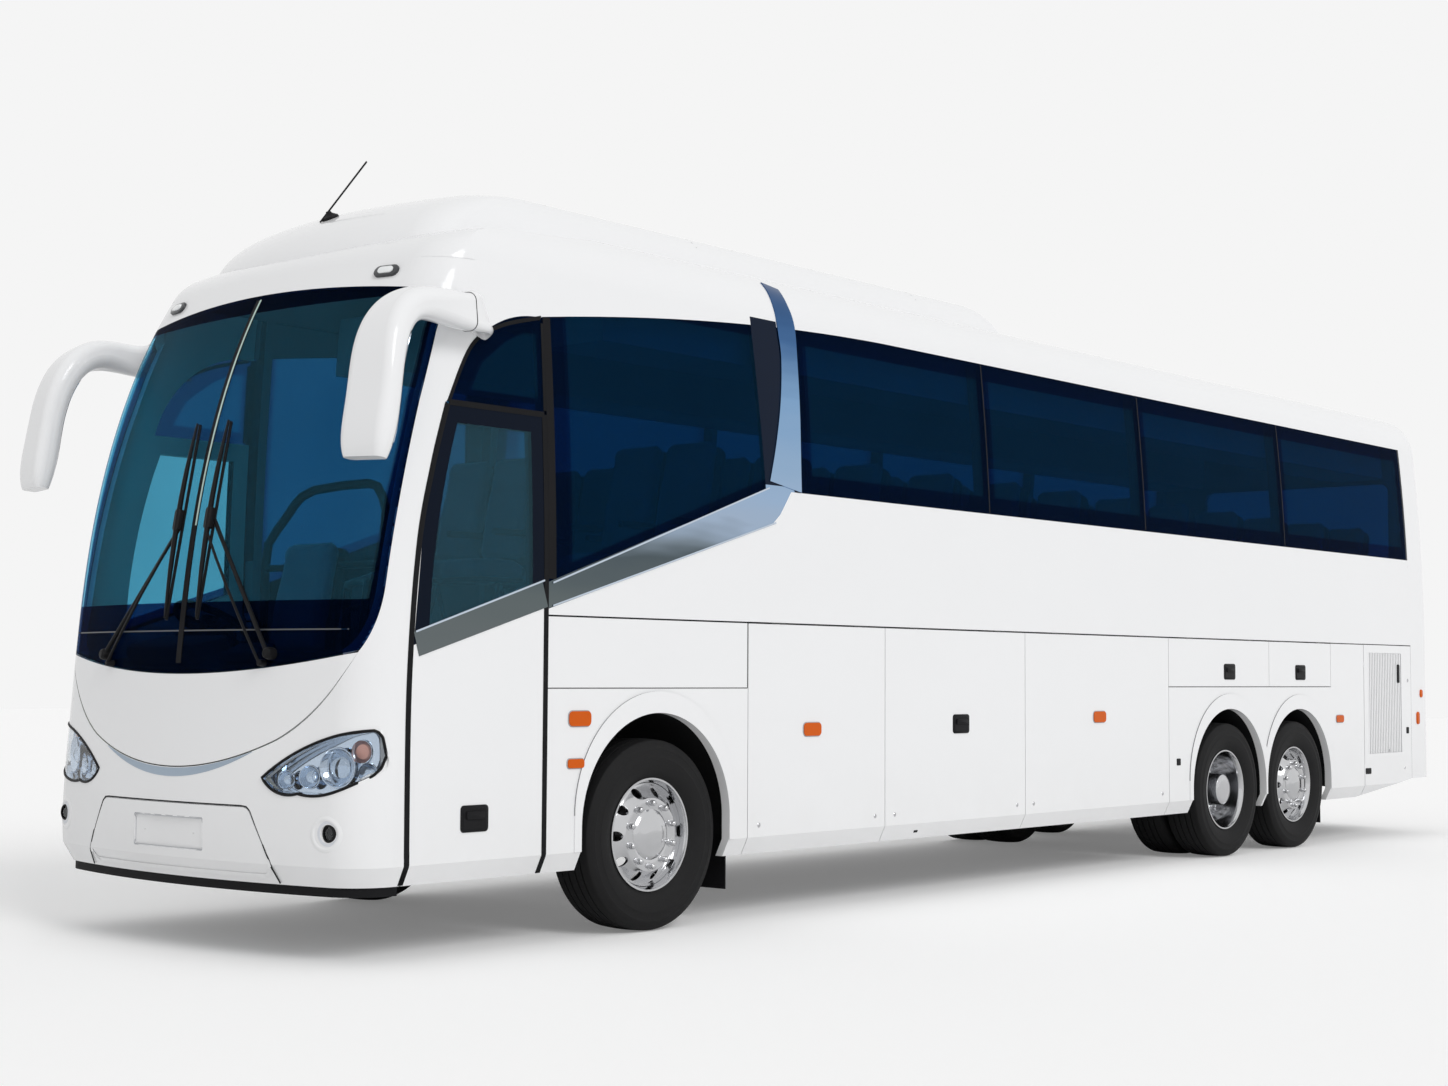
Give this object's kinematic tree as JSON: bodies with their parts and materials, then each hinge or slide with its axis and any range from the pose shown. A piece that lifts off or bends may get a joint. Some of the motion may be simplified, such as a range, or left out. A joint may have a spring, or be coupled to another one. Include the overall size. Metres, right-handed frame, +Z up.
{
  "type": "coach bus",
  "caption": "Touring coach with rolling and steered wheels, opening entry door, luggage doors, service flaps, engine doors and rear hatch.",
  "frame": {"origin": "centre of the bounding box in plan, on the ground", "axes": "+Z up, front towards -Y, the coach's left side towards +X"},
  "size_m": [3.024, 12.5043, 4.1128],
  "materials": {
    "white_paint": "gloss",
    "alloy": "polished",
    "tyre": "matte",
    "steel": "satin",
    "glass": "gloss",
    "lens": "gloss",
    "chrome": "polished",
    "red_lens": "gloss",
    "amber_lens": "gloss",
    "bay_lining": "matte",
    "rubber": "matte",
    "liner": "matte",
    "seat_fabric": "matte",
    "dash_plastic": "matte"
  },
  "bodies": {
    "body": {"front_mask": "white_paint", "front_panel": "white_paint", "bumper": "white_paint", "roof": "white_paint", "roof_pod": "white_paint", "wall_left": "white_paint", "wall_right": "white_paint", "rear_wall": "white_paint", "mirrors": "white_paint", "windscreen": "glass", "window_glass": "glass", "rear_window": "glass", "headlights": "lens", "bright_trim": "chrome", "tail_lamps": "red_lens", "markers": "amber_lens", "chassis": "steel", "axles": "steel", "engine": "steel", "luggage_bay": "bay_lining", "deck": "bay_lining", "rubber_flaps": "rubber", "wipers": "rubber", "aerial": "rubber", "arch_liners": "liner", "seats": "seat_fabric", "dashboard": "dash_plastic", "overhead_racks": "dash_plastic"},
    "front_wheel_left": {"wheel_front_left": "alloy", "tyre_front_left": "tyre"},
    "drive_wheel_left": {"wheel_drive_left": "alloy", "tyre_drive_left": "tyre"},
    "tag_wheel_left": {"wheel_tag_left": "alloy", "tyre_tag_left": "tyre"},
    "steering_left": {"knuckle_left": "steel"},
    "luggage_door_left_1": {"bay_door_left_1": "white_paint"},
    "luggage_door_left_2": {"bay_door_left_2": "white_paint"},
    "luggage_door_left_3": {"bay_door_left_3": "white_paint"},
    "drive_flap_left": {"flap_drive_left": "white_paint"},
    "tag_flap_left": {"flap_tag_left": "white_paint"},
    "engine_side_door_left": {"engine_door_left": "white_paint"},
    "front_wheel_right": {"wheel_front_right": "alloy", "tyre_front_right": "tyre"},
    "drive_wheel_right": {"wheel_drive_right": "alloy", "tyre_drive_right": "tyre"},
    "tag_wheel_right": {"wheel_tag_right": "alloy", "tyre_tag_right": "tyre"},
    "steering_right": {"knuckle_right": "steel"},
    "luggage_door_right_1": {"bay_door_right_1": "white_paint"},
    "luggage_door_right_2": {"bay_door_right_2": "white_paint"},
    "luggage_door_right_3": {"bay_door_right_3": "white_paint"},
    "drive_flap_right": {"flap_drive_right": "white_paint"},
    "tag_flap_right": {"flap_tag_right": "white_paint"},
    "engine_side_door_right": {"engine_door_right": "white_paint"},
    "engine_hatch": {"rear_hatch": "white_paint"},
    "door_leaf": {"entry_door": "white_paint", "entry_door_glass": "glass"},
    "door_swing_arm": {"entry_door_arm": "steel"}
  },
  "joints": [
    {"name": "steer_left", "type": "hinge", "parent": "body", "child": "steering_left", "pos_m": [0.895, -4.06225, 0.508], "axis": [0, 0, 1], "range_deg": [-40, 40]},
    {"name": "front_wheel_spin_left", "type": "hinge", "parent": "steering_left", "child": "front_wheel_left", "pos_m": [1.098, -4.06225, 0.508], "axis": [1, 0, 0], "continuous": true},
    {"name": "drive_wheel_spin_left", "type": "hinge", "parent": "body", "child": "drive_wheel_left", "pos_m": [1, 2.42775, 0.508], "axis": [1, 0, 0], "continuous": true},
    {"name": "tag_wheel_spin_left", "type": "hinge", "parent": "body", "child": "tag_wheel_left", "pos_m": [1.098, 3.59775, 0.508], "axis": [1, 0, 0], "continuous": true},
    {"name": "luggage_door_left_1_hinge", "type": "hinge", "parent": "body", "child": "luggage_door_left_1", "pos_m": [1.275, -2.68725, 1.65], "axis": [0, -1, 0], "range_deg": [0, 85]},
    {"name": "luggage_door_left_2_hinge", "type": "hinge", "parent": "body", "child": "luggage_door_left_2", "pos_m": [1.275, -1.26225, 1.65], "axis": [0, -1, 0], "range_deg": [0, 85]},
    {"name": "luggage_door_left_3_hinge", "type": "hinge", "parent": "body", "child": "luggage_door_left_3", "pos_m": [1.275, 0.48275, 1.65], "axis": [0, -1, 0], "range_deg": [0, 85]},
    {"name": "drive_flap_left_hinge", "type": "hinge", "parent": "body", "child": "drive_flap_left", "pos_m": [1.275, 2.25275, 1.65], "axis": [0, -1, 0], "range_deg": [0, 85]},
    {"name": "tag_flap_left_hinge", "type": "hinge", "parent": "body", "child": "tag_flap_left", "pos_m": [1.275, 3.61775, 1.65], "axis": [0, -1, 0], "range_deg": [0, 85]},
    {"name": "engine_side_door_left_hinge", "type": "hinge", "parent": "body", "child": "engine_side_door_left", "pos_m": [1.275, 4.82775, 1], "axis": [0, 0, -1], "range_deg": [0, 100]},
    {"name": "steer_right", "type": "hinge", "parent": "body", "child": "steering_right", "pos_m": [-0.895, -4.06225, 0.508], "axis": [0, 0, 1], "range_deg": [-40, 40]},
    {"name": "front_wheel_spin_right", "type": "hinge", "parent": "steering_right", "child": "front_wheel_right", "pos_m": [-1.098, -4.06225, 0.508], "axis": [1, 0, 0], "continuous": true},
    {"name": "drive_wheel_spin_right", "type": "hinge", "parent": "body", "child": "drive_wheel_right", "pos_m": [-1, 2.42775, 0.508], "axis": [1, 0, 0], "continuous": true},
    {"name": "tag_wheel_spin_right", "type": "hinge", "parent": "body", "child": "tag_wheel_right", "pos_m": [-1.098, 3.59775, 0.508], "axis": [1, 0, 0], "continuous": true},
    {"name": "luggage_door_right_1_hinge", "type": "hinge", "parent": "body", "child": "luggage_door_right_1", "pos_m": [-1.275, -2.68725, 1.65], "axis": [0, 1, 0], "range_deg": [0, 85]},
    {"name": "luggage_door_right_2_hinge", "type": "hinge", "parent": "body", "child": "luggage_door_right_2", "pos_m": [-1.275, -1.26225, 1.65], "axis": [0, 1, 0], "range_deg": [0, 85]},
    {"name": "luggage_door_right_3_hinge", "type": "hinge", "parent": "body", "child": "luggage_door_right_3", "pos_m": [-1.275, 0.48275, 1.65], "axis": [0, 1, 0], "range_deg": [0, 85]},
    {"name": "drive_flap_right_hinge", "type": "hinge", "parent": "body", "child": "drive_flap_right", "pos_m": [-1.275, 2.25275, 1.65], "axis": [0, 1, 0], "range_deg": [0, 85]},
    {"name": "tag_flap_right_hinge", "type": "hinge", "parent": "body", "child": "tag_flap_right", "pos_m": [-1.275, 3.61775, 1.65], "axis": [0, 1, 0], "range_deg": [0, 85]},
    {"name": "engine_side_door_right_hinge", "type": "hinge", "parent": "body", "child": "engine_side_door_right", "pos_m": [-1.275, 4.82775, 1], "axis": [0, 0, 1], "range_deg": [0, 100]},
    {"name": "engine_hatch_hinge", "type": "hinge", "parent": "body", "child": "engine_hatch", "pos_m": [0, 6.24775, 1.775], "axis": [1, 0, 0], "range_deg": [0, 80]},
    {"name": "door_swing", "type": "hinge", "parent": "body", "child": "door_swing_arm", "pos_m": [1.165, -5.64225, 0.9], "axis": [0, 0, -1], "range_deg": [0, 130]},
    {"name": "door_leaf_pivot", "type": "hinge", "parent": "door_swing_arm", "child": "door_leaf", "pos_m": [1.165, -5.19225, 0.9], "axis": [0, 0, -1], "range_deg": [-130, 0]}
  ],
  "couplings": [
    {"joint": "steer_right", "follows": "steer_left", "ratio": 1},
    {"joint": "door_leaf_pivot", "follows": "door_swing", "ratio": -1}
  ]
}
